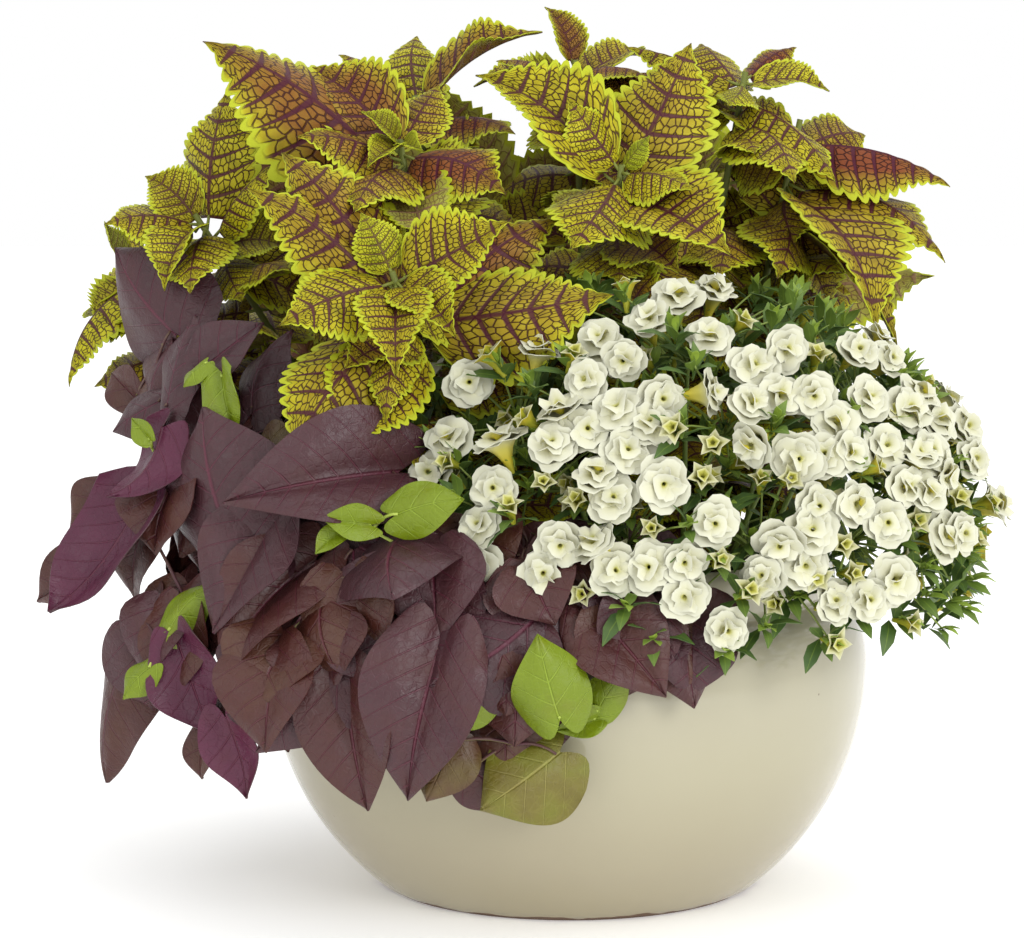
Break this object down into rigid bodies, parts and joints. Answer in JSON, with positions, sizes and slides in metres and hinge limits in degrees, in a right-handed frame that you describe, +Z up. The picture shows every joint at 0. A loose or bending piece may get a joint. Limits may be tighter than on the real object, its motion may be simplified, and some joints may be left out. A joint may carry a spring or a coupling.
{
  "type": "potted sweet potato vine with coleus and calibrachoa",
  "caption": "Glazed round bowl planted with trailing dark sweet potato vine, upright patterned coleus and a mound of double cream calibrachoa.",
  "frame": {"origin": "centre of the bowl's flat foot, on the ground", "axes": "+Z up out of the bowl, +X to the right seen from the front, the front of the planting faces -Y"},
  "size_m": [0.6163, 0.5028, 0.5724],
  "materials": {
    "glazed_bowl": "glossy cream celadon glaze with fine pinholes, bare stoneware at the foot",
    "soil": null,
    "coleus_leaf": null,
    "vine_leaf": null,
    "calibrachoa_bloom": null
  },
  "bodies": {
    "root": {"planter_bowl": "glazed_bowl", "potting_soil": "soil", "coleus_shoot_01": "coleus_leaf", "coleus_shoot_02": "coleus_leaf", "coleus_shoot_03": "coleus_leaf", "coleus_shoot_04": "coleus_leaf", "coleus_shoot_05": "coleus_leaf", "coleus_shoot_06": "coleus_leaf", "coleus_shoot_07": "coleus_leaf", "coleus_shoot_08": "coleus_leaf", "coleus_shoot_09": "coleus_leaf", "coleus_shoot_10": "coleus_leaf", "coleus_shoot_11": "coleus_leaf", "coleus_shoot_12": "coleus_leaf", "coleus_shoot_13": "coleus_leaf", "coleus_shoot_14": "coleus_leaf", "coleus_shoot_15": "coleus_leaf", "vine_runner_01": "vine_leaf", "vine_runner_02": "vine_leaf", "vine_runner_03": "vine_leaf", "vine_runner_04": "vine_leaf", "vine_runner_05": "vine_leaf", "vine_runner_06": "vine_leaf", "vine_runner_07": "vine_leaf", "vine_runner_08": "vine_leaf", "vine_runner_09": "vine_leaf", "vine_runner_10": "vine_leaf", "calibrachoa_spray_01": "calibrachoa_bloom", "calibrachoa_spray_02": "calibrachoa_bloom", "calibrachoa_spray_03": "calibrachoa_bloom", "calibrachoa_spray_04": "calibrachoa_bloom", "calibrachoa_spray_05": "calibrachoa_bloom", "calibrachoa_spray_06": "calibrachoa_bloom", "calibrachoa_spray_07": "calibrachoa_bloom", "calibrachoa_spray_08": "calibrachoa_bloom", "calibrachoa_spray_09": "calibrachoa_bloom", "calibrachoa_spray_10": "calibrachoa_bloom", "calibrachoa_spray_11": "calibrachoa_bloom", "calibrachoa_spray_12": "calibrachoa_bloom", "calibrachoa_spray_13": "calibrachoa_bloom"}
  },
  "joints": []
}
